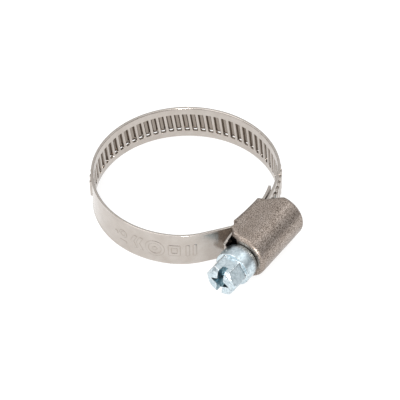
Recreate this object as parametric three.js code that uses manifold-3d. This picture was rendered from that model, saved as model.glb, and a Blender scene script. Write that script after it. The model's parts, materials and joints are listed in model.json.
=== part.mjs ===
// Worm-drive hose clamp for a 9 mm band, nominal 25 to 40 mm, modelled fully open.
// Millimetres. Origin: centre of the hose bore. +Z: bore axis. -Y: towards the housing.
// The screw lies along X, its head towards -X.
import * as THREE from "three";
import { mergeVertices } from "three/addons/utils/BufferGeometryUtils.js";
import Module from "manifold-3d";

const wasm = await Module();
wasm.setup();

const DEG = Math.PI / 180;

// ---- driving dimensions ----
const BAND_WIDTH = 9;
const BAND_THICK = 0.6;
const LAYER_GAP = 0.3; // between the fixed inner layer and the ribbed layer under the screw
const BEND_GAP = 0.3; // between neighbouring band stretches

const SADDLE_RADIUS = 31; // ribbed layer's middle surface inside the housing
const MESH_X = -2.6; // middle of the worm
const MESH_Y = -21.35; // ribbed layer's middle surface there
const FEED_ANGLE = 29 * DEG; // how far the ribbed layer keeps the saddle radius
const REAR_RADIUS = 12;
const REAR_TURN = 13.4 * DEG;
const FRONT_RADIUS = 16;
const FRONT_TURN = 25.7 * DEG;
const CHORD_SLOPE = 38.5 * DEG; // straight stretch in front of the housing
const CORNER_RADIUS = 4;
const CORNER_X = -7.9; // where the inner layer starts to bend away from the housing
const TONGUE_RADIUS = 25;
const TONGUE_X = 0; // where the tongue starts to curl inwards
const TONGUE_LENGTH = 6.6;
const TAIL_X = -9; // where the free end turns straight
const TAIL_LENGTH = 6.2;
const TAIL_NOTCH_X = -13.2; // the free end is cut back in the middle, clear of the screw's collar
const TAIL_NOTCH = 3.4; // half width of the notch at its floor

const PITCH = 2; // worm lead and rib spacing on the mesh radius
const RIB_RISE = 0.65;
const RIB_LENGTH = 5.5;
const RIB_CREST = 0.5;
const RIB_FOOT = 1.1;
const SLIT = 0.12; // cut at both ends of each rib
const MESH_RISE = 0.65; // height over the middle surface at which worm and ribs run together
const RIBS_PER_STRETCH = [7, 14, 14]; // on the hinged ribbed stretches, in order along the band

const SCREW_Y = -24.3;
const WORM_RADIUS = 2.4;
const WORM_CORE = 1.5;
const WORM_LENGTH = 7;
const THREAD_CREST = 0.3;
const THREAD_FOOT = 0.7;
const NECK_RADIUS = 2.3;
const NECK_X = -8.2;
const COLLAR_RADIUS = 4.35;
const COLLAR_REAR = -13.7;
const COLLAR_FRONT = -17.3;
const COLLAR_BEVEL = 1.5; // the collar's rear edge is turned back, clear of the fed band
const COLLAR_BACK_RADIUS = 3.6;
const HEX_FLATS = 7;
const HEX_FRONT = -22.3;
const HEX_CHAMFER = 0.9;
const SLOT_TURN = 6 * DEG; // how far the slot is turned off the bore's direction
const SLOT_WIDTH = 1.3;
const SLOT_DEPTH = 1.9;
const CROSS_WIDTH = 1.1;
const CROSS_REACH = 2.3;
const CROSS_DEPTH = 2.6;
const JOURNAL_END = 4.3;

const WALL = 0.7;
const SIDE_CLEARANCE = 0.3;
const HOUSING_FRONT = -13.3;
const HOUSING_REAR = 4.4;
const BASE_FRONT = -10.3;
const BASE_REAR = 0.6;
const KNEE_X = -12.4; // the flank's front edge flares as far as here, then less steeply
const KNEE_Y = -21.5;
const FRONT_FLARE_Y = -23.4; // from here outwards the housing has its full length in front
const REAR_FLARE_Y = -24.2; // and from here at the rear
const SADDLE_WALL = 0.55;
const SADDLE_FRONT = -8.3;
const SADDLE_CLEARANCE = 0.25;
const LIP = 0.8;
const FRONT_LIP_HOLE = 3.2;
const REAR_LIP_HOLE = 2;

// ---- solids ----
// A closed geometry as a solid; one drawn inside out is turned to face out.
function solid(geometry) {
  const plain = new THREE.BufferGeometry();
  plain.setAttribute("position", geometry.getAttribute("position"));
  plain.setIndex(geometry.index);
  const merged = mergeVertices(plain, 1e-4);
  const vertProperties = new Float32Array(merged.attributes.position.array);
  const triVerts = new Uint32Array(merged.index.array);
  const made = new wasm.Manifold(new wasm.Mesh({ numProp: 3, vertProperties, triVerts }));
  if (made.volume() > 0) return made;
  for (let i = 0; i < triVerts.length; i += 3) {
    [triVerts[i + 1], triVerts[i + 2]] = [triVerts[i + 2], triVerts[i + 1]];
  }
  return new wasm.Manifold(new wasm.Mesh({ numProp: 3, vertProperties, triVerts }));
}

function geometryOf(manifold) {
  const mesh = manifold.getMesh();
  const geometry = new THREE.BufferGeometry();
  geometry.setAttribute("position", new THREE.BufferAttribute(mesh.vertProperties, 3));
  geometry.setIndex(new THREE.BufferAttribute(mesh.triVerts, 1));
  geometry.computeVertexNormals();
  return geometry;
}

function union(manifolds) {
  return manifolds.reduce((all, next) => all.add(next));
}

function extrudeZ(points, low, high) {
  const shape = new THREE.Shape(points.map(([x, y]) => new THREE.Vector2(x, y)));
  const geometry = new THREE.ExtrudeGeometry(shape, { depth: high - low, bevelEnabled: false });
  return geometry.translate(0, 0, low);
}

// Extrudes an outline given in (y, z) along X.
function extrudeX(points, low, high) {
  const geometry = extrudeZ(points, low, high);
  const toX = new THREE.Matrix4().set(0, 0, 1, 0, 1, 0, 0, 0, 0, 1, 0, 0, 0, 0, 0, 1);
  return geometry.applyMatrix4(toX);
}

// Turns a profile of (x, radius) points round the screw's axis.
function latheX(profile, segments, turn = 0) {
  const points = profile.map(([x, r]) => new THREE.Vector2(r, x));
  const geometry = new THREE.LatheGeometry(points, segments);
  geometry.rotateY(turn);
  geometry.rotateZ(-Math.PI / 2);
  return geometry.translate(0, SCREW_Y, 0);
}

function box(x, y, z, centre) {
  return new THREE.BoxGeometry(x, y, z).translate(...centre);
}

function arcPoints(cx, cy, radius, from, to, steps) {
  const points = [];
  for (let i = 0; i <= steps; i++) {
    const a = from + ((to - from) * i) / steps;
    points.push([cx + radius * Math.cos(a), cy + radius * Math.sin(a)]);
  }
  return points;
}

// ---- the band's middle surface, one strip from the tongue round to the free end ----
const SADDLE_CENTRE = new THREE.Vector2(MESH_X, MESH_Y + SADDLE_RADIUS);
const INNER_RADIUS = SADDLE_RADIUS - BAND_THICK - LAYER_GAP;

// Point and heading on the inner layer at a given x; headings turn clockwise.
function innerLayer(x) {
  const a = Math.asin((x - SADDLE_CENTRE.x) / INNER_RADIUS);
  return {
    x,
    y: SADDLE_CENTRE.y - INNER_RADIUS * Math.cos(a),
    heading: Math.PI + a,
  };
}

function step(from, { length, radius }) {
  const turn = radius === Infinity ? 0 : length / radius;
  const reach = turn === 0 ? length : 2 * radius * Math.sin(turn / 2);
  const heading = from.heading - turn / 2;
  return {
    x: from.x + reach * Math.cos(heading),
    y: from.y + reach * Math.sin(heading),
    heading: from.heading - turn,
  };
}

// The straight chord and the main radius follow from the loop closing on the saddle arc.
function loopArcs() {
  const start = innerLayer(CORNER_X);
  const chordHeading = Math.PI - CHORD_SLOPE;
  const corner = { length: CORNER_RADIUS * (start.heading - chordHeading), radius: CORNER_RADIUS };
  const front = { length: FRONT_RADIUS * FRONT_TURN, radius: FRONT_RADIUS };
  const rear = { length: REAR_RADIUS * REAR_TURN, radius: REAR_RADIUS };
  const mainTurn = chordHeading + Math.PI - FEED_ANGLE - FRONT_TURN - REAR_TURN;
  const end = {
    x: SADDLE_CENTRE.x + SADDLE_RADIUS * Math.sin(FEED_ANGLE),
    y: SADDLE_CENTRE.y - SADDLE_RADIUS * Math.cos(FEED_ANGLE),
  };
  const walk = (chord, radius) =>
    [
      corner,
      { length: chord, radius: Infinity },
      front,
      { length: radius * mainTurn, radius },
      rear,
    ].reduce(step, start);
  // The end point is linear in both unknowns, so two probes give the exact answer.
  const base = walk(1, 1);
  const byChord = walk(2, 1);
  const byRadius = walk(1, 2);
  const [a, b] = [byChord.x - base.x, byRadius.x - base.x];
  const [c, d] = [byChord.y - base.y, byRadius.y - base.y];
  const [ex, ey] = [end.x - base.x, end.y - base.y];
  const det = a * d - b * c;
  const chord = 1 + (ex * d - b * ey) / det;
  const radius = 1 + (a * ey - c * ex) / det;
  return [
    corner,
    { length: chord, radius: Infinity },
    front,
    { length: radius * mainTurn, radius },
    rear,
  ];
}

const tongueBend = innerLayer(TONGUE_X);
const tongueTip = step(
  { ...tongueBend, heading: tongueBend.heading + Math.PI },
  { length: TONGUE_LENGTH, radius: -TONGUE_RADIUS },
);
const innerSpan = tongueBend.heading - innerLayer(CORNER_X).heading;
const tailBend = Math.asin((TAIL_X - SADDLE_CENTRE.x) / SADDLE_RADIUS);
const PATH = [
  { length: TONGUE_LENGTH, radius: TONGUE_RADIUS },
  { length: INNER_RADIUS * innerSpan, radius: INNER_RADIUS },
  ...loopArcs(),
  { length: SADDLE_RADIUS * (FEED_ANGLE - tailBend), radius: SADDLE_RADIUS },
  { length: TAIL_LENGTH, radius: Infinity },
];
const PATH_STARTS = [{ ...tongueTip, heading: tongueTip.heading - Math.PI, s: 0 }];
for (const arc of PATH) {
  const last = PATH_STARTS[PATH_STARTS.length - 1];
  PATH_STARTS.push({ ...step(last, arc), s: last.s + arc.length });
}

function startOf(index) {
  return PATH_STARTS[index].s;
}

// The point at length s along the band, n outwards of its middle surface.
function bandPoint(s, n) {
  let i = 0;
  while (i < PATH.length - 1 && s > PATH_STARTS[i + 1].s) i++;
  const at = step(PATH_STARTS[i], { length: s - PATH_STARTS[i].s, radius: PATH[i].radius });
  return [at.x - n * Math.sin(at.heading), at.y + n * Math.cos(at.heading)];
}

// ---- band stretches ----
const HALF = BAND_THICK / 2;
const MESH_RADIUS = SADDLE_RADIUS + MESH_RISE;
const RIB_STEP = (PITCH * SADDLE_RADIUS) / MESH_RADIUS;
const RIB_SLANT = PITCH / (2 * Math.PI * WORM_RADIUS);

// Bends a strip drawn flat in (s, n, z) onto the band's path, with its ribs on the worm's slant.
function bend(geometry) {
  const position = geometry.getAttribute("position");
  for (let i = 0; i < position.count; i++) {
    const z = position.getZ(i);
    const [x, y] = bandPoint(position.getX(i) - z * RIB_SLANT, position.getY(i));
    position.setXYZ(i, x, y, z);
  }
  return geometry;
}

// The rise of the strip at the four corners of a rib's section, along the band.
function ribSection(centre) {
  return [
    [centre - RIB_FOOT / 2, 0],
    [centre - RIB_CREST / 2, RIB_RISE],
    [centre + RIB_CREST / 2, RIB_RISE],
    [centre + RIB_FOOT / 2, 0],
  ];
}

// Splits the land between two places into straight spans no longer than a rib step.
function land(from, to) {
  const count = Math.max(1, Math.round((to - from) / RIB_STEP));
  const at = (i) => [from + ((to - from) * i) / count, 0];
  return Array.from({ length: count }, (_, i) => ({ line: [at(i), at(i + 1)], rib: false }));
}

// A closed strip, drawn flat and then bent. Each rib is pressed outwards between two slits,
// so it hangs on the strip at its feet only and its two ends are open.
function stretch(from, to, ribs) {
  const spans = [];
  let reached = from;
  for (const centre of ribs) {
    const line = ribSection(centre);
    spans.push(...land(reached, line[0][0]), { line, rib: true });
    reached = line[3][0];
  }
  spans.push(...land(reached, to));

  const corners = [];
  const quad = (a, b, c, d) => corners.push(a, b, c, a, c, d);
  // Outer and inner faces over one piece of a line, between two heights.
  const faces = ([s0, r0], [s1, r1], low, high) => {
    quad([s0, r0 + HALF, low], [s0, r0 + HALF, high], [s1, r1 + HALF, high], [s1, r1 + HALF, low]);
    quad([s0, r0 - HALF, low], [s1, r1 - HALF, low], [s1, r1 - HALF, high], [s0, r0 - HALF, high]);
  };
  // A wall along the line at one height, facing up or down.
  const wall = ([s0, r0], [s1, r1], z, up) => {
    const ring = [
      [s0, r0 - HALF, z],
      [s1, r1 - HALF, z],
      [s1, r1 + HALF, z],
      [s0, r0 + HALF, z],
    ];
    quad(...(up ? ring : ring.reverse()));
  };
  // A wall across the strip, facing along the band or back.
  const end = (s, low, high, forward) => {
    const ring = [
      [s, -HALF, low],
      [s, HALF, low],
      [s, HALF, high],
      [s, -HALF, high],
    ];
    quad(...(forward ? ring : ring.reverse()));
  };

  const top = BAND_WIDTH / 2;
  const rib = RIB_LENGTH / 2;
  const edge = rib + SLIT;
  const [lower, lowerSlit, middle, upperSlit, upper] = [
    [-top, -edge],
    [-edge, -rib],
    [-rib, rib],
    [rib, edge],
    [edge, top],
  ];
  for (const span of spans) {
    const first = span.line[0];
    const last = span.line[span.line.length - 1];
    wall(first, last, top, true);
    wall(first, last, -top, false);
    if (!span.rib) {
      for (const across of [lower, lowerSlit, middle, upperSlit, upper]) {
        faces(first, last, ...across);
      }
      continue;
    }
    faces(first, last, ...lower);
    faces(first, last, ...upper);
    wall(first, last, edge, false);
    wall(first, last, -edge, true);
    for (const across of [lowerSlit, upperSlit]) {
      end(first[0], ...across, true);
      end(last[0], ...across, false);
    }
    for (let i = 0; i < span.line.length - 1; i++) {
      faces(span.line[i], span.line[i + 1], ...middle);
      wall(span.line[i], span.line[i + 1], rib, true);
      wall(span.line[i], span.line[i + 1], -rib, false);
    }
  }
  for (const across of [lower, lowerSlit, middle, upperSlit, upper]) {
    end(from, ...across, false);
    end(to, ...across, true);
  }
  const geometry = new THREE.BufferGeometry();
  geometry.setAttribute("position", new THREE.Float32BufferAttribute(corners.flat(), 3));
  return solid(bend(geometry));
}

const cornerEnd = startOf(3);
const feedStart = startOf(7);
const bandEnd = startOf(PATH.length);
const meshS = feedStart + SADDLE_RADIUS * FEED_ANGLE;
// Lands, not ribs, lie at the mesh point and at every joint between stretches.
const landOffset = (meshS - feedStart) % RIB_STEP;
const threadedStart = feedStart + landOffset - RIB_STEP;
const ribbedRibs = RIBS_PER_STRETCH.reduce((all, next) => all + next);
const ribbedStart = threadedStart - ribbedRibs * RIB_STEP;
const smoothStart = cornerEnd + 0.3;

function ribsFrom(start, count) {
  return Array.from({ length: count }, (_, i) => start + (i + 0.5) * RIB_STEP);
}

// The rigid stretch that runs under the worm, with a notched free end.
function threadedEnd() {
  const ribs = Math.floor((bandEnd - threadedStart - 2.5) / RIB_STEP);
  const strip = stretch(
    threadedStart + BEND_GAP / 2,
    bandEnd - 0.5,
    ribsFrom(threadedStart, ribs),
  );
  const outline = [
    [TAIL_NOTCH_X, -TAIL_NOTCH],
    [TAIL_NOTCH_X, TAIL_NOTCH],
    [TAIL_NOTCH_X - 4, TAIL_NOTCH + 2],
    [TAIL_NOTCH_X - 4, -TAIL_NOTCH - 2],
  ];
  const notch = extrudeZ(outline, -4, 4).rotateX(Math.PI / 2).translate(0, MESH_Y, 0);
  return strip.subtract(solid(notch));
}

const band = new Map();
band.set("band_fixed_end", stretch(0.5, smoothStart - BEND_GAP / 2, []));
band.set("band_smooth", stretch(smoothStart + BEND_GAP / 2, ribbedStart - BEND_GAP / 2, []));
let reached = ribbedStart;
RIBS_PER_STRETCH.forEach((count, i) => {
  const next = reached + count * RIB_STEP;
  const ribs = ribsFrom(reached, count);
  band.set(`band_ribbed_${i + 1}`, stretch(reached + BEND_GAP / 2, next - BEND_GAP / 2, ribs));
  reached = next;
});
band.set("band_threaded_end", threadedEnd());

// ---- screw ----
// A helical ridge: its foot is sunk in the core, and its ends run out to the core.
function thread() {
  const steps = 20 * Math.round(WORM_LENGTH / PITCH);
  const turns = WORM_LENGTH / PITCH;
  const sunk = WORM_CORE - 0.3;
  const vertices = [];
  const faces = [];
  for (let i = 0; i <= steps; i++) {
    const along = i / steps - 0.5;
    const angle = 2 * Math.PI * turns * along;
    const x = MESH_X + WORM_LENGTH * along;
    const fade = Math.min(1, (0.5 - Math.abs(along)) * turns * 4);
    const crest = sunk + 0.35 + (WORM_RADIUS - sunk - 0.35) * fade;
    const section = [
      [-THREAD_FOOT / 2, sunk],
      [-THREAD_CREST / 2, crest],
      [THREAD_CREST / 2, crest],
      [THREAD_FOOT / 2, sunk],
    ];
    for (const [dx, r] of section) {
      vertices.push(x + dx, SCREW_Y + r * Math.cos(angle), r * Math.sin(angle));
    }
    if (i === steps) break;
    for (let k = 0; k < 4; k++) {
      const a = 4 * i + k;
      const b = 4 * i + ((k + 1) % 4);
      faces.push(a, b, b + 4, a, b + 4, a + 4);
    }
  }
  const last = 4 * steps;
  faces.push(0, 3, 2, 0, 2, 1, last, last + 1, last + 2, last, last + 2, last + 3);
  const geometry = new THREE.BufferGeometry();
  geometry.setAttribute("position", new THREE.Float32BufferAttribute(vertices, 3));
  geometry.setIndex(faces);
  return solid(geometry);
}

function screw() {
  const hexCorner = HEX_FLATS / 2 / Math.cos(Math.PI / 6);
  const shaft = solid(
    latheX(
      [
        [COLLAR_FRONT + 0.5, 0],
        [COLLAR_FRONT + 0.5, COLLAR_RADIUS - 0.5],
        [COLLAR_FRONT, COLLAR_RADIUS - 0.5],
        [COLLAR_FRONT, COLLAR_RADIUS - 0.3],
        [COLLAR_FRONT + 0.3, COLLAR_RADIUS],
        [COLLAR_REAR - COLLAR_BEVEL, COLLAR_RADIUS],
        [COLLAR_REAR, COLLAR_BACK_RADIUS],
        [COLLAR_REAR, NECK_RADIUS],
        [NECK_X, NECK_RADIUS],
        [NECK_X, WORM_CORE],
        [JOURNAL_END - 0.4, WORM_CORE],
        [JOURNAL_END, WORM_CORE - 0.4],
        [JOURNAL_END, 0],
      ],
      32,
    ),
  );
  const hex = solid(
    latheX(
      [
        [HEX_FRONT, 0],
        [HEX_FRONT, hexCorner],
        [COLLAR_FRONT + 1, hexCorner],
        [COLLAR_FRONT + 1, 0],
      ],
      6,
      Math.PI / 6,
    ),
  );
  const chamfer = solid(
    latheX(
      [
        [HEX_FRONT, 0],
        [HEX_FRONT, HEX_FLATS / 2 - 0.35],
        [HEX_FRONT + HEX_CHAMFER, hexCorner + 0.05],
        [COLLAR_FRONT + 1, hexCorner + 0.05],
        [COLLAR_FRONT + 1, 0],
      ],
      32,
    ),
  );
  // A straight cut into the end face, `across` wide and `along` long before it is turned.
  const cut = (across, along, depth) =>
    solid(new THREE.BoxGeometry(2 * depth, across, along)
      .rotateX(SLOT_TURN)
      .translate(HEX_FRONT, SCREW_Y, 0));
  const slot = cut(SLOT_WIDTH, 3 * HEX_FLATS, SLOT_DEPTH);
  const cross = cut(2 * CROSS_REACH, CROSS_WIDTH, CROSS_DEPTH);
  return union([shaft, hex.intersect(chamfer).subtract(slot).subtract(cross), thread()]);
}

// ---- housing: one pressed channel over the screw, closed by a saddle under the band ----
function channelOutline(half, depthY) {
  const arch = arcPoints(SCREW_Y, 0, half, -Math.PI / 2, -1.5 * Math.PI, 20);
  return [[depthY, -half], ...arch, [depthY, half]];
}

function housing() {
  const outerHalf = BAND_WIDTH / 2 + SIDE_CLEARANCE + WALL;
  const innerHalf = outerHalf - WALL;
  const top = -15;
  const shell = solid(extrudeX(channelOutline(outerHalf, top), HOUSING_FRONT, HOUSING_REAR)).subtract(
    solid(extrudeX(channelOutline(innerHalf, top + 1), HOUSING_FRONT - 1, HOUSING_REAR + 1)),
  );
  const saddleOuter = INNER_RADIUS - HALF - SADDLE_CLEARANCE;
  const saddleInner = saddleOuter - SADDLE_WALL;
  const angleAt = (x, radius) => -Math.PI / 2 + Math.asin((x - SADDLE_CENTRE.x) / radius);
  const saddleArc = (radius, from, to) =>
    arcPoints(
      SADDLE_CENTRE.x,
      SADDLE_CENTRE.y,
      radius,
      angleAt(from, radius),
      angleAt(to, radius),
      6,
    );
  const side = [
    ...saddleArc(saddleInner, BASE_FRONT, BASE_REAR),
    [HOUSING_REAR, REAR_FLARE_Y],
    [HOUSING_REAR, SCREW_Y - outerHalf - 1],
    [HOUSING_FRONT, SCREW_Y - outerHalf - 1],
    [HOUSING_FRONT, FRONT_FLARE_Y],
    [KNEE_X, KNEE_Y],
  ];
  const walls = shell.intersect(solid(extrudeZ(side, -outerHalf - 1, outerHalf + 1)));
  const saddle = solid(
    extrudeZ(
      [
        ...saddleArc(saddleInner, SADDLE_FRONT, BASE_REAR),
        ...saddleArc(saddleOuter, SADDLE_FRONT, BASE_REAR).reverse(),
      ],
      -outerHalf + WALL / 2,
      outerHalf - WALL / 2,
    ),
  );
  const lip = (from, to, hole, baseY) =>
    solid(extrudeX(channelOutline(innerHalf + WALL / 2, baseY), from, to)).subtract(
      solid(
        latheX(
          [
            [from - 1, 0],
            [from - 1, hole],
            [to + 1, hole],
            [to + 1, 0],
          ],
          24,
        ),
      ),
    );
  const throat = (from, to, hole) =>
    solid(box(to - from + 2, 4, 2 * hole, [(from + to) / 2, SCREW_Y + 2, 0]));
  const end = (from, hole, baseY) =>
    lip(from, from + LIP, hole, baseY).subtract(throat(from, from + LIP, hole));
  const front = end(HOUSING_FRONT, FRONT_LIP_HOLE, FRONT_FLARE_Y);
  const rear = end(HOUSING_REAR - LIP, REAR_LIP_HOLE, REAR_FLARE_Y);
  return union([walls, saddle, front, rear]);
}

// ---- the object ----
const steel = { color: 0xc8c0ba, roughness: 0.3, metalness: 1 };
const finishes = {
  band: steel,
  housing: { color: 0x9b8c82, roughness: 0.45, metalness: 1 },
  screw: { color: 0xbecdd7, roughness: 0.35, metalness: 1 },
};

function node(name, made, finish) {
  const mesh = new THREE.Mesh(geometryOf(made), new THREE.MeshStandardMaterial(finish));
  mesh.name = name;
  return mesh;
}

const group = new THREE.Group();
group.add(node("housing", housing(), finishes.housing));
group.add(node("screw", screw(), finishes.screw));
for (const [name, made] of band) group.add(node(name, made, finishes.band));

export default group;
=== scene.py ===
"""Looks of a worm-drive hose clamp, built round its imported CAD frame.

Lengths are in mm, and the factor MM turns them into the scene's metres."""

import json
import math

import bmesh
import bpy
import numpy as np
from mathutils import Matrix, Vector


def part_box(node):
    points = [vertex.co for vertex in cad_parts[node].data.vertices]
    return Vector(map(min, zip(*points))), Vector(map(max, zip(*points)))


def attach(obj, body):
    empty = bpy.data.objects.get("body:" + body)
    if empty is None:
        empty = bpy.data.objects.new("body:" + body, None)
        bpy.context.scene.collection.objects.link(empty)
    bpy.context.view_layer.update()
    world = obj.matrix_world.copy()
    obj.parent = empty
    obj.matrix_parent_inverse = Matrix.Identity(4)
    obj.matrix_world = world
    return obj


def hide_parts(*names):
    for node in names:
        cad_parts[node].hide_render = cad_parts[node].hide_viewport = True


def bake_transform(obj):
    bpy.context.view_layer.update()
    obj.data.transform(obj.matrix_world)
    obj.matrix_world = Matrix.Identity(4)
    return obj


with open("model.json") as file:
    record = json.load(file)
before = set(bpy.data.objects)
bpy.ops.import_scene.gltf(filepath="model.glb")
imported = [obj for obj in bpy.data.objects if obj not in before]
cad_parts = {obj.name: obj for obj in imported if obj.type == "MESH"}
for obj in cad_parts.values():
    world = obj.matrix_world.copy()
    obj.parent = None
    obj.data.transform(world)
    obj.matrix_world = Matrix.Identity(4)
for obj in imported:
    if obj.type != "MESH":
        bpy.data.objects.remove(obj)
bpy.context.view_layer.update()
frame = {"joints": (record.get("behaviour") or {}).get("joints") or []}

MM = 0.001

# ---- the band's middle surface, clockwise from the tongue's tip, as in the CAD source ----
# (length, radius) of each arc; radius None is straight.
PATH = [
    (6.6, 25.0),
    (7.93102, 30.1),
    (1.979797, 4.0),
    (7.074597, None),
    (7.176794, 16.0),
    (96.536299, 21.827634),
    (2.806489, 12.0),
    (22.136869, 31.0),
    (6.2, None),
]
TONGUE_TIP = (6.424401, -18.911083)
TONGUE_HEADING = 3.492079
BAND_END = 158.44
RIB_STEP = 1.958926
FIRST_RIBBED = 59.602773  # where the ribbed part starts
SMOOTH_START = 16.810817  # the first hinge
RIBS_TO_HINGE = (0, 7, 21, 35)  # ribs before each of the other hinges
RIBS_TO_CUT = (3, 14, 28)  # ribs before each place where two pieces of the strip meet
SMOOTH_CUT = 38.2
RIB_SLANT = 0.1326  # along the band, per mm across it
FREE_END = 152.24  # from here the band runs straight to its free end

# ---- the band's section ----
HALF_WIDTH = 4.5
HALF_THICK = 0.3
RIB_END = 2.4  # half length of a rib
SLIT_EDGE = 2.62  # the strip's edge across the slit from it
SLIT_HALF = 0.36  # half width of the slit
RIB_RISE = 0.48
GROOVE_DEPTH = 0.7
ROLL_START = 3.9  # outside of this the strip's long edges turn outwards
ROLL = 0.12

# ---- screw and housing, as in the CAD source ----
SCREW_Y = -24.3
MESH_X = -2.6


def path_table():
    """x, y, heading and length along the band at the start of each arc, and at the end."""
    starts = [(*TONGUE_TIP, TONGUE_HEADING, 0.0)]
    for length, radius in PATH:
        x, y, heading, s = starts[-1]
        turn = 0.0 if radius is None else length / radius
        reach = length if radius is None else 2 * radius * math.sin(turn / 2)
        middle = heading - turn / 2
        starts.append(
            (x + reach * math.cos(middle), y + reach * math.sin(middle), heading - turn, s + length)
        )
    return np.array(starts)


STARTS = path_table()
RADII = np.array([r or 1e9 for _, r in PATH])


def band_point(s, n):
    """Points at length s along the band and n outwards of its middle surface, as arrays."""
    s, n = np.broadcast_arrays(np.asarray(s, float), np.asarray(n, float))
    i = np.clip(np.searchsorted(STARTS[1:-1, 3], s, side="right"), 0, len(PATH) - 1)
    x, y, heading, start = (STARTS[i, k] for k in range(4))
    turn = (s - start) / RADII[i]
    reach = np.where(RADII[i] > 1e8, s - start, 2 * RADII[i] * np.sin(turn / 2))
    middle = heading - turn / 2
    x = x + reach * np.cos(middle)
    y = y + reach * np.sin(middle)
    heading = heading - turn
    return x - n * np.sin(heading), y + n * np.cos(heading)


def smoothstep(t):
    """0 below t = 0, 1 above t = 1, and a smooth rise between."""
    t = np.clip(t, 0, 1)
    return t * t * (3 - 2 * t)


# ---- meshes ----
def finish_mesh(name, vertices, faces, attributes=None, sharp=40):
    """An object of closed smooth-shaded faces, with edges sharper than sharp degrees kept sharp."""
    mesh = bpy.data.meshes.new(name)
    mesh.from_pydata((np.asarray(vertices) * MM).tolist(), [], faces)
    for key, values in (attributes or {}).items():
        layer = mesh.attributes.new(key, "FLOAT_VECTOR", "POINT")
        layer.data.foreach_set("vector", np.asarray(values, np.float32).ravel())
    obj = bpy.data.objects.new(name, mesh)
    bpy.context.scene.collection.objects.link(obj)
    return shade(obj, sharp)


def shade(obj, sharp):
    """Drops loose points and turns normals outwards; smooth but for edges over sharp degrees."""
    bm = bmesh.new()
    bm.from_mesh(obj.data)
    loose = [v for v in bm.verts if not v.link_faces]
    bmesh.ops.delete(bm, geom=loose, context="VERTS")
    bmesh.ops.recalc_face_normals(bm, faces=bm.faces)
    limit = math.radians(sharp)
    for face in bm.faces:
        face.smooth = True
    for edge in bm.edges:
        edge.smooth = len(edge.link_faces) == 2 and edge.calc_face_angle() < limit
    bm.to_mesh(obj.data)
    bm.free()
    return obj


def plate_faces(solid):
    """Faces of a plate: two skins of a grid of cells, and a wall round every edge and opening.
    Vertex (side, i, j) has the number side * rows * cols + i * cols + j."""
    rows, cols = solid.shape[0] + 1, solid.shape[1] + 1
    number = np.arange(2 * rows * cols).reshape(2, rows, cols)
    outer, inner = number
    faces = []
    for i, j in np.argwhere(solid):
        ring = [(i, j), (i + 1, j), (i + 1, j + 1), (i, j + 1)]
        faces.append([int(outer[p]) for p in ring])
        faces.append([int(inner[p]) for p in reversed(ring)])
    padded = np.pad(solid, 1)
    for i, j in np.argwhere(solid):
        sides = [
            ((0, -1), (i, j), (i + 1, j)),
            ((1, 0), (i + 1, j), (i + 1, j + 1)),
            ((0, 1), (i + 1, j + 1), (i, j + 1)),
            ((-1, 0), (i, j + 1), (i, j)),
        ]
        for (di, dj), a, b in sides:
            if not padded[i + 1 + di, j + 1 + dj]:
                faces.append([int(outer[b]), int(outer[a]), int(inner[a]), int(inner[b])])
    return faces


# ---- band ----
EDGE_ROWS = [4.5, 4.475, 4.41, 4.28, 4.14, 4.0, 3.9, 3.78, 3.4, 3.0, 2.7, SLIT_EDGE]
RIB_ROWS = [RIB_END, 2.32, 1.8, 0.9]
RIB_COLUMNS = [0.74, 0.68, 0.62, 0.56, 0.50, 0.44, 0.38, 0.32, 0.26, 0.20, 0.10]
RIB_FLANK = (0.70, 0.36)  # a rib's foot, as a distance from its centre, and its flank's width
GROOVE_FLANK = (0.72, 0.42)  # the same on the inner skin
GROOVE_SHADE = (0.78, 0.3)  # the same for the painted shade in the groove
NO_RIB = 9.0  # stands for the distance to a rib where there is none
RIBLESS_END = 2.9  # no rib reaches nearer than this to the free end
PLAIN_STEP = 0.45  # grid step along the smooth part
END_STEP = 0.3  # grid step along the free end
TIPS = (0.2, 0.35)  # the strip ends this far inside its path's first and last point
ROUND_OFF = ((4.41, 4.475, 4.5), (0.0, 0.045, 0.13))  # across the band, and how far a skin sinks
# Along the band, (start, length) of a fade-in and (end, length) of a fade-out.
ROLL_IN, ROLL_OUT = (15.0, 4.0), (136.0, 5.0)  # of the rolled edges
SLANT_IN, SLANT_OUT = (50.0, 9.0), (FREE_END + 2.0, 2.0)  # of the slant that the ribs have
MARK_STEP = 0.11  # grid step under the pressed marks
MARK_GRID = 2.9  # half width of that grid
MARKS = (24.6, 45.4)  # along the band
MARK_RISE = 0.12
MARK_EDGE = 0.2  # width of the slope round a mark
MARK_SHADE_LINE = 0.1  # width of the line of painted shade round a mark
# strength of the painted shade along a mark's outline
OUTLINE_PAINTED_SHADE = 0.6
END_CUT, CORNER_CUT = 1.5, 0.9  # how far the free end is cut back, in the middle and at its corners
CORNER_LIFT = 1.25


def sorted_unique(values, step=0.02):
    """Values in order, without those less than step above the one before."""
    values = np.sort(np.asarray(values, float))
    keep = np.r_[True, np.diff(values) > step]
    return values[keep]


def rib_centres(a, b):
    count = int((BAND_END - RIBLESS_END - FIRST_RIBBED) / RIB_STEP)
    centres = FIRST_RIBBED + (np.arange(count) + 0.5) * RIB_STEP
    return centres[(centres > a) & (centres < b)]


def to_nearest(s, centres):
    """Distance from each place to the nearest of the ribs' centres."""
    if not len(centres):
        return np.full(len(s), NO_RIB)
    return np.abs(s[:, None] - centres[None, :]).min(1)


def fade_in(s, start, length):
    return smoothstep((s - start) / length)


def fade_out(s, end, length):
    return smoothstep((end - s) / length)


# A mark's shape is the distance to its edge, negative inside.
def ring(a, z, radius, width):
    return np.abs(np.hypot(a, z) - radius) - width / 2


def block(a, z, half_a, half_z, corner=0.25):
    da = np.abs(a) - half_a + corner
    dz = np.abs(z) - half_z + corner
    outside = np.hypot(np.maximum(da, 0), np.maximum(dz, 0))
    inside = np.minimum(np.maximum(da, dz), 0)
    return outside + inside - corner


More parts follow.
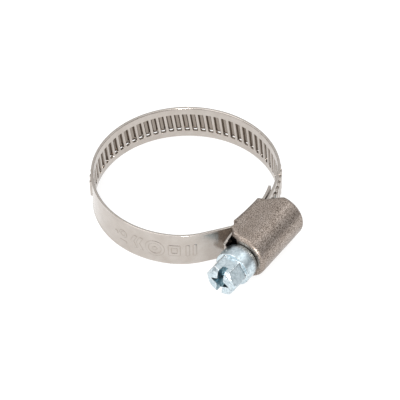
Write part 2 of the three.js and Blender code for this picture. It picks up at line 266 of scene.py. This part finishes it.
def marks(s, z):
    """Generic pressed marks on the smooth part, bars, rings and blocks: height, and a painted shade
    line round them.
    """
    a = s - MARKS[0]
    frame_outside = block(a - 5.4, z + 0.2, 1.35, 1.6)
    frame_inside = block(a - 5.4, z + 0.2, 0.65, 0.8, 0.1)
    chevron = 0.5 * np.abs(z + 0.2)
    shapes = [
        block(a - 0.8, z + 0.2, 0.4, 1.7),
        block(a - 2.4, z + 0.2, 0.4, 1.7),
        np.maximum(frame_outside, -frame_inside),
        ring(a - 9.9, z + 0.3, 1.9, 0.75),
        np.hypot(a - 9.9, z + 0.3) - 0.55,
        block((a - 14.1) + chevron, z + 0.2, 0.45, 1.9),
        block((a - 15.6) + chevron, z + 0.2, 0.45, 1.9),
        ring(a - 18.2, z - 0.4, 0.85, 0.5),
        block(a - 18.2, z + 2.0, 1.0, 0.35),
        np.hypot(a - 20.3, z + 0.2) - 0.5,
    ]
    nearest = np.minimum.reduce(shapes)
    height = MARK_RISE * smoothstep(0.5 - nearest / MARK_EDGE)
    return height, np.exp(-((nearest / MARK_SHADE_LINE) ** 2))


def roll_strength(s):
    """How far the long edges are rolled: all round the loop, flat where the layers run together."""
    return fade_in(s, *ROLL_IN) * fade_out(s, *ROLL_OUT)


def free_end(s, z):
    """The free end: cut back in the middle, its two corners bent away round the screw's collar."""
    t = np.clip((s - FREE_END) / (BAND_END - FREE_END), 0, 1)
    across = np.abs(z)
    middle = END_CUT * (1 - fade_in(across, 1.9, 1.8))
    corners = CORNER_CUT * np.clip((across - 3.3) / 1.2, 0, 1) ** 2.5
    lift = CORNER_LIFT * t**1.8 * fade_in(across, 1.6, 2.2)
    return s - t**2 * (middle + corners), lift


def band_columns(a, b, centres, marked):
    """Places along the band from a to b, closer together on ribs and marks."""
    columns = [a, a + 0.03, b - 0.03, b]
    for centre in centres:
        columns += [centre + sign * u for u in RIB_COLUMNS for sign in (-1, 1)]
        columns += [centre, centre - RIB_STEP / 2]
    if not len(centres) or centres[0] - a > RIB_STEP:
        columns += list(np.arange(a + PLAIN_STEP, min(b, FIRST_RIBBED) - 0.2, PLAIN_STEP))
    if marked:
        columns += list(np.arange(MARKS[0] - 0.5, min(b, MARKS[1] + 0.5), MARK_STEP))
    if len(centres) and b - centres[-1] > RIB_STEP:
        columns += list(np.arange(centres[-1] + RIB_STEP / 2, b - 0.2, END_STEP))
    return sorted_unique([c for c in columns if a <= c <= b])


def band_piece(name, a, b):
    """The strip from a to b, with its ribs, slits, marks and rolled edges."""
    centres = rib_centres(a, b)
    marked = a < MARKS[1] and b > MARKS[0]
    s = band_columns(a, b, centres, marked)
    half = EDGE_ROWS + (list(np.arange(MARK_GRID, 0.05, -MARK_STEP)) if marked else RIB_ROWS)
    z = sorted_unique([*half, *(-r for r in half), 0.0])

    distance = to_nearest(s, centres)
    on_rib = np.abs(z) <= RIB_END + 1e-6
    out_rise = (RIB_RISE * fade_out(distance, *RIB_FLANK))[:, None] * on_rib
    in_rise = (GROOVE_DEPTH * fade_out(distance, *GROOVE_FLANK))[:, None] * on_rib
    # painted shade: the inner skin's colour darkens in each groove
    painted_groove_shade = fade_out(distance, *GROOVE_SHADE)[:, None] * on_rib

    S, Z = np.meshgrid(s, z, indexing="ij")
    roll = ROLL * np.clip((np.abs(Z) - ROLL_START) / (HALF_WIDTH - ROLL_START), 0, 1) ** 1.5
    lean = roll * roll_strength(S)
    round_off = np.interp(np.abs(Z), *ROUND_OFF)
    press, painted_edge_shade = marks(S, Z) if marked else np.zeros((2, *S.shape))
    s_cut, lift = free_end(S, Z)
    outer_n = HALF_THICK - round_off + lean + lift + press + out_rise
    inner_n = -HALF_THICK + round_off + lean + lift + press + in_rise
    skins = []
    for n in (outer_n, inner_n):
        x, y = band_point(s_cut - Z * RIB_SLANT * ribbed(S), n)
        skins.append(np.stack([x, y, Z], -1))

    solid = np.ones((len(s) - 1, len(z) - 1), bool)
    in_rib = to_nearest((s[1:] + s[:-1]) / 2, centres) < SLIT_HALF
    middle_z = np.abs(z[1:] + z[:-1]) / 2
    in_slit = (middle_z > RIB_END) & (middle_z < SLIT_EDGE)
    solid[np.ix_(in_rib, in_slit)] = False
    # "flat" holds the place on the flat strip and its painted shade round marks and in grooves, for
    # the material.
    painted_outline_shade = OUTLINE_PAINTED_SHADE * painted_edge_shade
    flat = [np.stack([S, Z, dark], -1).reshape(-1, 3) for dark in (painted_outline_shade, painted_outline_shade + painted_groove_shade)]
    vertices = np.concatenate([skin.reshape(-1, 3) for skin in skins])
    return finish_mesh(name, vertices, plate_faces(solid), {"flat": np.concatenate(flat)}, 50)


def ribbed(s):
    """1 where the strip is slanted to match the ribs, 0 over the smooth part and the ends."""
    return fade_in(s, *SLANT_IN) * fade_out(s, *SLANT_OUT)


def band():
    """One piece for each hinge, cut in the middle of the rigid stretches."""
    hinges = [SMOOTH_START] + [FIRST_RIBBED + n * RIB_STEP for n in RIBS_TO_HINGE]
    cuts = [FIRST_RIBBED + n * RIB_STEP for n in RIBS_TO_CUT]
    cuts = [TIPS[0], SMOOTH_CUT, *cuts, BAND_END - TIPS[1]]
    joints = [j for j in frame["joints"] if j["name"] != "screw_turn"]
    made = []
    for k, (joint, hinge) in enumerate(zip(joints, hinges)):
        piece = band_piece(f"strip_{k + 1}", cuts[k], cuts[k + 1])
        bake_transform(piece)
        nodes = ["band_fixed_end"] if k == 0 else []
        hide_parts(*nodes, joint["child"])
        made.append(piece)
    return made


# ---- housing: one bent sheet, seamed under the band ----
ARCH = 5.5  # outer radius of the arch, and half the width over the flanks
WALL = 0.65
SADDLE_WALL = 0.55
FRONT, REAR = -13.0, 4.4
BASE_FRONT, BASE_REAR = -10.3, 0.6
BASE_Y = -19.9
# The flanks' ends, as (y, x): they flare from the base to the housing's full length.
FRONT_FLARE = ((-24.3, FRONT), (-23.4, FRONT), (-21.5, -12.4), (BASE_Y, BASE_FRONT))
REAR_FLARE = ((-24.3, REAR), (-24.2, REAR), (BASE_Y, BASE_REAR))
SADDLE_FRONT = -8.3
SADDLE_ARC = (-2.6, 9.65, 29.0)  # centre (x, y) and radius of the bore side's middle
SADDLE_EDGE = (-18.36, 0.72, 0.9)  # y of its edge in front, its fall to the rear, its sag between
LIP_Y = (-22.5, -23.3)  # the front and rear walls stand outwards of these lines
EDGE_BEND, PLAIN_EDGE = 0.95, 0.1  # radius of the front and rear ends' bends, and with no bend
BEND_REACH = 1.3  # the bends come in over this height above the flanks' base
CORNER = 1.0  # radius of the bend between flank and saddle
HOLES = (3.2, 2.0)  # radii of the holes in the front and rear walls
SEAM = 0.1
SEAM_SWING = 1.6  # the seam's step to one side
SEAM_STEPS = (-6.6, -2.4)  # x where it steps out and back
SEAM_SLOPE = 0.5
# Rows of the mesh along a lip, a bend, the stretch in front of the saddle, and the rest.
LIP_ROWS, BEND_ROWS, OPEN_ROWS, LONG_ROWS = 5, 8, 5, 30


def saddle_line(x, z):
    """Bore side of the saddle: round in the middle, nearly straight where it meets the flanks."""
    centre_x, centre_y, radius = SADDLE_ARC
    arc = centre_y - np.sqrt(radius**2 - (x - centre_x) ** 2)
    t = np.clip((x - BASE_FRONT) / (BASE_REAR - BASE_FRONT), 0, 1)
    front, fall, sag = SADDLE_EDGE
    edge = front - fall * t - sag * t * (1 - t)
    return arc + (edge - arc) * fade_in(np.abs(z), 2.8, 1.7)


def seam_line(x):
    """The interlocked seam between the two halves of the saddle."""
    out, back = (fade_in(x, at, SEAM_SLOPE) for at in SEAM_STEPS)
    return SEAM_SWING * (out - back)


def half_section():
    """Columns of half the section from the seam to the top of the arch: (part, share of it)."""
    columns = [("saddle", t) for t in np.linspace(0, 1, 11)]
    columns += [("corner", t) for t in np.linspace(0, 1, 7)[1:]]
    columns += [("flank", t) for t in np.linspace(0, 1, 15)[1:]]
    columns += [("arch", t) for t in np.linspace(0, 1, 25)[1:]]
    return columns


def housing_column(part, t, side, x):
    """Outer points of one column at the places x, with the inward direction there."""
    zero, one = np.zeros_like(x), np.ones_like(x)
    seam = seam_line(x) * side + SEAM / 2
    flank_end = saddle_line(x, np.full_like(x, ARCH - CORNER)) - CORNER
    if part == "saddle":
        z = seam + (ARCH - CORNER - seam) * t
        return saddle_line(x, z), z * side, -one, zero
    if part == "corner":
        a = t * math.pi / 2
        y, z = flank_end + CORNER * math.cos(a), (ARCH - CORNER + CORNER * math.sin(a)) * one
        return y, z * side, -math.cos(a) * one, -side * math.sin(a) * one
    if part == "flank":
        return flank_end + (SCREW_Y - flank_end) * t, ARCH * side * one, zero, -side * one
    a = t * math.pi / 2
    y, z = SCREW_Y - ARCH * math.sin(a), ARCH * math.cos(a) * side
    return y * one, z * one, math.sin(a) * one, -math.cos(a) * side * one


def housing_mesh():
    """The bent sheet: columns round the section, rows from the front lip to the rear one."""
    columns = [(part, t, 1) for part, t in half_section()]
    columns += [(part, t, -1) for part, t in reversed(half_section()) if (part, t) != ("arch", 1.0)]
    bend = np.linspace(math.pi / 2, 0, BEND_ROWS)
    lips = np.linspace(1, 0, LIP_ROWS)[:-1]
    cut = (SADDLE_FRONT - BASE_FRONT) / (BASE_REAR - BASE_FRONT)
    along = np.r_[np.linspace(0, cut, OPEN_ROWS), np.linspace(cut, 1, LONG_ROWS)[1:]]
    rows = len(lips) + len(bend) + len(along) - 2 + len(bend) + len(lips)
    outer, inner = np.zeros((2, rows, len(columns), 3))
    heights = []
    for j, (part, t, side) in enumerate(columns):
        flat = part in ("saddle", "corner")
        up = {"flank": t, "arch": 1.0}.get(part, 0.0)
        height = BASE_Y + (SCREW_Y - BASE_Y) * up
        heights.append(height)
        ends = [np.interp(height, *zip(*flare)) for flare in (FRONT_FLARE, REAR_FLARE)]
        opened = float(smoothstep((BASE_Y - height) / BEND_REACH))
        radius = PLAIN_EDGE + (EDGE_BEND - PLAIN_EDGE) * opened
        wall = SADDLE_WALL if flat else WALL
        profile = []
        for end, hole, inwards in zip(ends, HOLES, (1, -1)):
            reach = ARCH - hole
            turned = opened * bend
            lip = [(end, radius + (reach - radius) * u, math.pi / 2 * opened) for u in lips]
            round_off = [
                (end + inwards * radius * (1 - math.sin(a)), radius * (1 - math.cos(a)), b)
                for a, b in zip(bend, turned)
            ]
            profile.append([(x, d, a * inwards) for x, d, a in lip + round_off])
        low, high = profile[0][-1][0], profile[1][-1][0]
        middle = [(low + (high - low) * w, 0.0, 0.0) for w in along[1:-1]]
        x, depth, angle = np.array(profile[0] + middle + profile[1][::-1]).T
        x_in = x + wall * np.sin(angle)
        depth_in = depth + wall * np.cos(angle)
        for skin, at, d in ((outer, x, depth), (inner, x_in, depth_in)):
            y, z, ny, nz = housing_column(part, t, side, x)
            skin[:, j] = np.stack([at, y + ny * d, z + nz * d], -1)
    solid = np.ones((rows - 1, len(columns) - 1), bool)
    parts = [c[0] for c in columns]
    lip_rows = (range(len(lips)), range(rows - 1 - len(lips), rows - 1))
    front_rows = range(len(lips) + len(bend) - 1 + OPEN_ROWS - 1)
    for j in range(len(columns) - 1):
        for cells, limit in zip(lip_rows, LIP_Y):
            if max(heights[j], heights[j + 1]) > limit:
                solid[list(cells), j] = False
        if {parts[j], parts[j + 1]} & {"saddle", "corner"}:
            solid[list(front_rows), j] = False
    vertices = np.concatenate([outer.reshape(-1, 3), inner.reshape(-1, 3)])
    return finish_mesh("clamp_housing", vertices, plate_faces(solid), None, 40)


# ---- screw: head, collar, neck and worm in one turned body ----
HEX_HALF = 3.5
HEX_CORNER = 3.98
HEX_FRONT = -22.3
END_RADIUS = 3.1
COLLAR_RADIUS = 4.35
COLLAR_FRONT, COLLAR_REAR = -17.3, -13.15
NECK_RADIUS, NECK_END = 2.3, -8.2
WORM_CORE, WORM_RADIUS = 1.5, 2.4
WORM_HALF, WORM_FADE = 3.9, 1.2  # half the thread's length, and the run-out at either end of it
PITCH = 2.0
JOURNAL_END = 4.3
COLUMNS = 180
END_SHARES = (0.08, 0.3, 0.55, 0.75, 0.9, 0.96)  # rows on the head's flat end
HEAD_ROWS = np.r_[0.0, 0.04, 0.12, np.arange(0.2, 1.3, 0.1), 1.6, 2.2, 2.9, 3.6, 4.1]
HEAD_CONE, HEAD_ROUND = 1.05, 0.12  # slope of the head's bevel, and the rounding in front of it
FLARE_ROWS, FLARE_LENGTH = 8, 0.2  # from the hexagon out to the collar
# (x, radius) from the collar's front edge to the worm.
SHOULDERS = (
    (COLLAR_FRONT + 0.02, COLLAR_RADIUS - 0.08),
    (COLLAR_FRONT + 0.12, COLLAR_RADIUS - 0.01),
    (COLLAR_FRONT + 0.3, COLLAR_RADIUS),
    (COLLAR_FRONT + 1.3, COLLAR_RADIUS),
    (COLLAR_REAR - 1.05, COLLAR_RADIUS),
    (COLLAR_REAR - 0.75, COLLAR_RADIUS - 0.09),
    (COLLAR_REAR - 0.27, COLLAR_RADIUS - 0.28),
    (COLLAR_REAR - 0.05, COLLAR_RADIUS - 0.38),
    (COLLAR_REAR, COLLAR_RADIUS - 0.5),
    (COLLAR_REAR, 3.0),
    (COLLAR_REAR, NECK_RADIUS + 0.1),
    (COLLAR_REAR + 0.1, NECK_RADIUS),
    (NECK_END, NECK_RADIUS),
    (NECK_END + 0.4, WORM_CORE),
)
WORM_STEP = 0.1  # grid step along the worm
THREAD = (0.4, 0.24)  # half width of the thread's foot, and its flank's width
# (distance from the end, radius) of the screw's rear end.
JOURNAL = ((2.9, 1.5), (0.4, 1.5), (0.15, 1.4), (0, 1.15), (0, 0.6), (0, 0.1))
SLOT_TURN = 6  # degrees
CUTTER_FRONT = 0.5  # the cutters start this far in front of the end face
# Half sizes of the slot and the cross at the end face and at their bottom, and their depths.
SLOT, SLOT_BOTTOM, SLOT_DEPTH = (0.8, 9.0), (0.62, 9.0), 1.9
CROSS, CROSS_BOTTOM, CROSS_DEPTH = (2.6, 1.0), (1.7, 0.65), 2.5


def hexagon(angle):
    """Radius of the hexagon, with its corners turned off."""
    off = np.abs((np.degrees(angle) + 30) % 60 - 30)
    return np.minimum(HEX_HALF / np.cos(np.radians(off)), HEX_CORNER)


def screw_rows():
    """Rows of the turned body: place along the axis, radius at each column."""
    angle = np.arange(COLUMNS) * 2 * math.pi / COLUMNS
    hexagonal = hexagon(angle)
    rows = []
    for share in END_SHARES:
        rows.append((HEX_FRONT, END_RADIUS * share * np.ones(COLUMNS)))
    for x in HEAD_ROWS:
        cone = END_RADIUS + HEAD_CONE * x + HEAD_ROUND * min(1, x / HEAD_ROUND) - HEAD_ROUND
        rows.append((HEX_FRONT + x, np.minimum(hexagonal, cone)))
    for u in np.linspace(0, 1, FLARE_ROWS):
        x = COLLAR_FRONT - 0.22 + FLARE_LENGTH * u
        rows.append((x, hexagonal + (COLLAR_RADIUS - 0.18 - hexagonal) * u**1.7))
    for x, r in SHOULDERS:
        rows.append((x, r * np.ones(COLUMNS)))
    for x in np.arange(MESH_X - WORM_HALF, MESH_X + WORM_HALF + WORM_STEP / 2, WORM_STEP):
        turns = (x - MESH_X) / PITCH - angle / (2 * math.pi)
        off = np.abs((turns + 0.5) % 1 - 0.5) * PITCH
        fade = fade_out(abs(x - MESH_X), WORM_HALF, WORM_FADE)
        ridge = np.clip((THREAD[0] - off) / THREAD[1], 0, 1)
        rows.append((x, WORM_CORE + (WORM_RADIUS - WORM_CORE) * fade * ridge))
    for back, r in JOURNAL:
        rows.append((JOURNAL_END - back, r * np.ones(COLUMNS)))
    return angle, rows


def cutter(name, points, depth_points, depth):
    """A closed prism in the end face that narrows from points to depth_points."""
    front = [(HEX_FRONT - CUTTER_FRONT, y, z) for y, z in points]
    back = [(HEX_FRONT + depth, y, z) for y, z in depth_points]
    n = len(points)
    faces = [list(range(n)), list(range(2 * n - 1, n - 1, -1))]
    faces += [[k, n + k, n + (k + 1) % n, (k + 1) % n] for k in range(n)]
    cos, sin = math.cos(math.radians(SLOT_TURN)), math.sin(math.radians(SLOT_TURN))
    placed = [(x, SCREW_Y + y * cos - z * sin, y * sin + z * cos) for x, y, z in front + back]
    made = finish_mesh(name, placed, faces, None, 30)
    made.data.materials.append(recess_shade_finish)
    return made


def rectangle(y, z):
    """Corners of a rectangle, from its half sizes."""
    return [(-y, -z), (y, -z), (y, z), (-y, z)]


def diamond(y, z):
    """Corners of a diamond, from its half sizes, with the points across z cut off."""
    return [(-y, 0), (-0.25 * y, -z), (0.25 * y, -z), (y, 0), (0.25 * y, z), (-0.25 * y, z)]


def screw_mesh():
    """The turned body, with the slot and the cross recess cut into its head."""
    angle, rows = screw_rows()
    x = np.array([row[0] for row in rows])
    radius = np.array([row[1] for row in rows])
    y = SCREW_Y - radius * np.sin(angle)
    z = radius * np.cos(angle)
    grid = np.stack([np.broadcast_to(x[:, None], y.shape), y, z], -1).reshape(-1, 3)
    faces = []
    for i in range(len(rows) - 1):
        for j in range(COLUMNS):
            k = (j + 1) % COLUMNS
            low, high = i * COLUMNS, (i + 1) * COLUMNS
            faces.append([low + j, low + k, high + k, high + j])
    first, last = len(grid), len(grid) + 1
    centres = [(x[0], SCREW_Y, 0), (x[-1], SCREW_Y, 0)]
    for j in range(COLUMNS):
        k = (j + 1) % COLUMNS
        end = (len(rows) - 1) * COLUMNS
        faces.append([first, k, j])
        faces.append([last, end + j, end + k])
    body = finish_mesh("clamp_screw", np.concatenate([grid, centres]), faces, None, 30)
    body.data.materials.append(zinc_finish)
    slot = cutter("slot", rectangle(*SLOT), rectangle(*SLOT_BOTTOM), SLOT_DEPTH)
    cross = cutter("cross", diamond(*CROSS), diamond(*CROSS_BOTTOM), CROSS_DEPTH)
    for tool in (slot, cross):
        cut = body.modifiers.new(tool.name, "BOOLEAN")
        cut.operation = "DIFFERENCE"
        cut.solver = "EXACT"
        cut.material_mode = "TRANSFER"  # the cut faces keep the cutter's material, a darker zinc copy that paints shade into the recess
        cut.object = tool
    evaluated = body.evaluated_get(bpy.context.evaluated_depsgraph_get())
    worked = bpy.data.meshes.new_from_object(evaluated)
    body.modifiers.clear()
    body.data = worked
    for tool in (slot, cross):
        bpy.data.objects.remove(tool)
    return shade(body, 30)


def hardware():
    """Housing and screw, each on its own body."""
    made = []
    for piece, body, node in (
        (housing_mesh(), "fixed", "housing"),
        (screw_mesh(), "screw", "screw"),
    ):
        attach(piece, body)
        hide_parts(node)
        made.append(piece)
    return made


# ---- materials ----
BAND_DARK, BAND_LIGHT = (0.455, 0.412, 0.375), (0.50, 0.46, 0.425)
# painted shade: the colour the grooves and the marks' outlines are darkened to
BAND_PAINTED_SHADE = (0.23, 0.195, 0.165)
GRAIN = (
    (0.36, (0.07, 0.055, 0.04)),
    (0.5, (0.31, 0.26, 0.225)),
    (0.64, (0.62, 0.55, 0.50)),
)
GRAIN_CLOUD = ((0.35, (0.86, 0.84, 0.82)), (0.65, (1.0, 1.0, 1.0)))
WEAR_WIDTH = 0.15
ZINC_PIT = (0.20, 0.23, 0.25)
# painted shade along the zinc's edges and creases
ZINC_EDGE_SHADE = (0.12, 0.14, 0.15)


def material(name, metallic=0.0):
    """A new material, its nodes, its links and its shader."""
    made = bpy.data.materials.new(name)
    made.use_nodes = True
    nodes = made.node_tree.nodes
    shader = nodes["Principled BSDF"]
    shader.inputs["Metallic"].default_value = metallic
    return made, nodes, made.node_tree.links, shader


def ramp(nodes, links, source, stops):
    """A colour ramp over source, from stops of (place, colour)."""
    made = nodes.new("ShaderNodeValToRGB")
    elements = made.color_ramp.elements
    while len(elements) < len(stops):
        elements.new(0.5)
    for element, (place, colour) in zip(elements, stops):
        element.position = place
        element.color = (*colour, 1)
    links.new(source, made.inputs["Fac"])
    return made.outputs["Color"]


def noise(nodes, links, where, scale, detail, roughness=0.5):
    made = nodes.new("ShaderNodeTexNoise")
    made.inputs["Scale"].default_value = scale
    made.inputs["Detail"].default_value = detail
    made.inputs["Roughness"].default_value = roughness
    links.new(where, made.inputs["Vector"])
    return made.outputs["Fac"]


def spread(nodes, links, source, low, high, to_low, to_high):
    """Maps source from low..high to to_low..to_high, clamped."""
    made = nodes.new("ShaderNodeMapRange")
    limits = {"From Min": low, "From Max": high, "To Min": to_low, "To Max": to_high}
    for key, value in limits.items():
        made.inputs[key].default_value = value
    links.new(source, made.inputs["Value"])
    return made.outputs["Result"]


def blend_colour(nodes, links, share, a, b):
    """Mixes a towards b by share; a and b are sockets or colours."""
    made = nodes.new("ShaderNodeMix")
    made.data_type = "RGBA"
    links.new(share, made.inputs["Factor"])
    for socket, value in ((made.inputs[6], a), (made.inputs[7], b)):
        if isinstance(value, tuple):
            socket.default_value = (*value, 1)
        else:
            links.new(value, socket)
    return made.outputs[2]


def bump(nodes, links, shader, source, strength, distance):
    made = nodes.new("ShaderNodeBump")
    made.inputs["Strength"].default_value = strength
    made.inputs["Distance"].default_value = distance * MM
    links.new(source, made.inputs["Height"])
    links.new(made.outputs["Normal"], shader.inputs["Normal"])


def band_steel():
    """Bright rolled strip: lines along it, soft clouds, and painted shade in grooves and round
    marks.
    """
    made, nodes, links, shader = material("band_steel", metallic=1.0)
    flat = nodes.new("ShaderNodeAttribute")
    flat.attribute_name = "flat"
    where = flat.outputs["Vector"]
    # Rolling lines run along the strip, so their pattern is stretched along it.
    stretched = nodes.new("ShaderNodeMapping")
    stretched.inputs["Scale"].default_value = (0.12, 7.0, 0.0)
    links.new(where, stretched.inputs["Vector"])
    lines = noise(nodes, links, stretched.outputs["Vector"], 1.6, 5.0)
    cloud = noise(nodes, links, where, 0.35, 4.0)
    steel = ramp(nodes, links, cloud, [(0.35, BAND_DARK), (0.65, BAND_LIGHT)])
    # The third part of the attribute is how much painted shade the marks' outlines and the grooves
    # get.
    split = nodes.new("ShaderNodeSeparateXYZ")
    links.new(where, split.inputs["Vector"])
    shaded = spread(nodes, links, split.outputs["Z"], 0.0, 1.0, 0.0, 0.8)
    links.new(blend_colour(nodes, links, shaded, steel, BAND_PAINTED_SHADE), shader.inputs["Base Color"])
    links.new(spread(nodes, links, lines, 0.3, 0.7, 0.12, 0.24), shader.inputs["Roughness"])
    bump(nodes, links, shader, lines, 0.12, 0.02)
    return made


def housing_steel():
    """Pressed sheet with a coarse matt grain."""
    made, nodes, links, shader = material("housing_steel", metallic=1.0)
    where = nodes.new("ShaderNodeTexCoord").outputs["Object"]
    grain = noise(nodes, links, where, 4200.0, 3.0, 0.75)
    cloud = noise(nodes, links, where, 350.0, 3.0)
    fine = ramp(nodes, links, grain, GRAIN)
    tint = ramp(nodes, links, cloud, GRAIN_CLOUD)
    both = nodes.new("ShaderNodeMix")
    both.data_type = "RGBA"
    both.blend_type = "MULTIPLY"
    both.inputs["Factor"].default_value = 1.0
    links.new(fine, both.inputs[6])
    links.new(tint, both.inputs[7])
    links.new(both.outputs[2], shader.inputs["Base Color"])
    links.new(spread(nodes, links, grain, 0.35, 0.65, 0.42, 0.26), shader.inputs["Roughness"])
    bump(nodes, links, shader, grain, 0.6, 0.06)
    return made


def wear_and_shade_edges(nodes, links, where):
    """Two sockets, 1 along the edges: one broken up by a noise for wear, one whole for painted
    shade.
    """
    rounded = nodes.new("ShaderNodeBevel")
    rounded.samples = 6
    rounded.inputs["Radius"].default_value = WEAR_WIDTH * MM
    plain = nodes.new("ShaderNodeNewGeometry")
    agree = nodes.new("ShaderNodeVectorMath")
    agree.operation = "DOT_PRODUCT"
    links.new(rounded.outputs["Normal"], agree.inputs[0])
    links.new(plain.outputs["True Normal"], agree.inputs[1])
    edge = spread(nodes, links, agree.outputs["Value"], 0.998, 0.98, 0.0, 1.0)
    patches = noise(nodes, links, where, 3000.0, 3.0, 0.7)
    broken = spread(nodes, links, patches, 0.46, 0.54, 0.0, 1.0)
    both = nodes.new("ShaderNodeMath")
    both.operation = "MULTIPLY"
    links.new(edge, both.inputs[0])
    links.new(broken, both.inputs[1])
    return both.outputs["Value"], edge


def zinc(name, dark, light, worn_to):
    """Mottled zinc plating, broken edges worn to another colour, painted edge shade, small dark
    pits.
    """
    made, nodes, links, shader = material(name, metallic=1.0)
    where = nodes.new("ShaderNodeTexCoord").outputs["Object"]
    mottle = noise(nodes, links, where, 1500.0, 4.0, 0.65)
    plating = ramp(nodes, links, mottle, [(0.38, dark), (0.6, light)])
    worn, edge = wear_and_shade_edges(nodes, links, where)
    pits = spread(nodes, links, noise(nodes, links, where, 2600.0, 2.0), 0.66, 0.72, 0.0, 0.7)
    pitted = blend_colour(nodes, links, pits, plating, ZINC_PIT)
    # painted shade: a dark line along every edge and crease
    painted_edge_shade = spread(nodes, links, edge, 0.05, 0.6, 0.0, 0.9)
    edge_shaded = blend_colour(nodes, links, painted_edge_shade, pitted, ZINC_EDGE_SHADE)
    final = blend_colour(nodes, links, worn, edge_shaded, worn_to)
    links.new(final, shader.inputs["Base Color"])
    links.new(spread(nodes, links, mottle, 0.35, 0.65, 0.36, 0.24), shader.inputs["Roughness"])
    bump(nodes, links, shader, mottle, 0.25, 0.05)
    return made


def dress(obj, made):
    obj.data.materials.clear()
    obj.data.materials.append(made)


zinc_finish = zinc("zinc", (0.42, 0.50, 0.54), (0.65, 0.745, 0.79), (0.93, 0.95, 0.96))
# a darker copy of the zinc for the slot and the cross: painted shade in the recess
recess_shade_finish = zinc("zinc_recess_shade", (0.13, 0.22, 0.26), (0.32, 0.45, 0.50), (0.6, 0.7, 0.74))
strip_finish = band_steel()
for piece in band():
    dress(piece, strip_finish)
housing, _ = hardware()
dress(housing, housing_steel())


# ---- floor, light and camera ----
FLOOR_SIZE = 3.0  # half width, m
FLOOR_GAP = 0.02  # mm below the lowest points
FLOOR_GREY = 0.32
FLOOR_GLOW = 0.76


def floor():
    """A pale floor under the housing's flank and the band's far edge, which is a little higher."""
    near_lo, near_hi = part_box("housing")
    far_lo, far_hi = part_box("band_ribbed_1")
    edge = near_hi.y - CORNER * MM
    rise = (far_lo.z - near_lo.z) / (far_hi.y - edge)
    mesh = bpy.data.meshes.new("floor")
    corners = rectangle(FLOOR_SIZE, FLOOR_SIZE)
    points = [(x, y, near_lo.z + (y - edge) * rise - FLOOR_GAP * MM) for x, y in corners]
    mesh.from_pydata(points, [], [(0, 1, 2, 3)])
    obj = bpy.data.objects.new("floor", mesh)
    bpy.context.scene.collection.objects.link(obj)
    made, _, _, shader = material("floor")
    shader.inputs["Base Color"].default_value = (FLOOR_GREY, FLOOR_GREY, FLOOR_GREY, 1)
    shader.inputs["Roughness"].default_value = 0.9
    shader.inputs["Emission Color"].default_value = (1, 1, 1, 1)
    shader.inputs["Emission Strength"].default_value = FLOOR_GLOW
    dress(obj, made)


def area_light(name, energy, size, place):
    light = bpy.data.lights.new(name, "AREA")
    light.energy = energy
    light.size = size
    obj = bpy.data.objects.new(name, light)
    obj.location = place
    obj.rotation_euler = (-Vector(place)).to_track_quat("-Z", "Y").to_euler()
    bpy.context.scene.collection.objects.link(obj)


# The sky's colour against the height of the direction.
SKY = (
    (0.0, (0.30, 0.30, 0.31)),
    (0.14, (0.45, 0.455, 0.46)),
    (0.45, (0.95, 0.95, 0.95)),
    (1.0, (1, 1, 1)),
)
SKY_STRENGTH = 0.9
# Power in W, width in m, place in m; each light points at the origin.
LIGHTS = {
    "overhead": (1.2, 0.5, (-0.05, 0.1, 0.5)),
    "left": (0.6, 0.4, (-0.45, 0.1, 0.25)),
    "front": (1.5, 0.09, (-0.38, -0.29, 0.17)),
    "right": (0.11, 0.2, (0.295, -0.166, 0.365)),
}


def lights():
    world = bpy.data.worlds.new("studio")
    world.use_nodes = True
    nodes, links = world.node_tree.nodes, world.node_tree.links
    where = nodes.new("ShaderNodeTexCoord")
    split = nodes.new("ShaderNodeSeparateXYZ")
    links.new(where.outputs["Generated"], split.inputs["Vector"])
    sky = ramp(nodes, links, split.outputs["Z"], SKY)
    links.new(sky, nodes["Background"].inputs["Color"])
    nodes["Background"].inputs["Strength"].default_value = SKY_STRENGTH
    bpy.context.scene.world = world
    for name, (energy, size, place) in LIGHTS.items():
        area_light(name, energy, size, place)


CAMERA_AZIMUTH = -54.2
CAMERA_ELEVATION = 43.4
CAMERA_ROLL = -1.1
CAMERA_DISTANCE = 0.444
CAMERA_LENS = 170.05
CAMERA_SENSOR = 36
AIM_RIGHT = 0.0029  # m, the point aimed at, from the origin
AIM_DOWN = 0.0039


def camera():
    """The camera at the photograph's viewing angle, looking past the origin."""
    azimuth = math.radians(CAMERA_AZIMUTH)
    elevation = math.radians(CAMERA_ELEVATION)
    back = Vector(
        (
            math.sin(azimuth) * math.cos(elevation),
            -math.cos(azimuth) * math.cos(elevation),
            math.sin(elevation),
        )
    )
    right = Vector((math.cos(azimuth), math.sin(azimuth), 0))
    up = back.cross(right)
    place = back * CAMERA_DISTANCE
    aim = right * AIM_RIGHT - up * AIM_DOWN
    data = bpy.data.cameras.new("camera")
    data.lens = CAMERA_LENS
    data.sensor_width = CAMERA_SENSOR
    obj = bpy.data.objects.new("camera", data)
    turn = (aim - place).to_track_quat("-Z", "Y").to_matrix().to_4x4()
    roll = Matrix.Rotation(math.radians(CAMERA_ROLL), 4, "Z")
    obj.matrix_world = Matrix.Translation(place) @ turn @ roll
    bpy.context.scene.collection.objects.link(obj)
    bpy.context.scene.camera = obj


floor()
lights()
camera()
bpy.context.scene.view_settings.view_transform = "Standard"
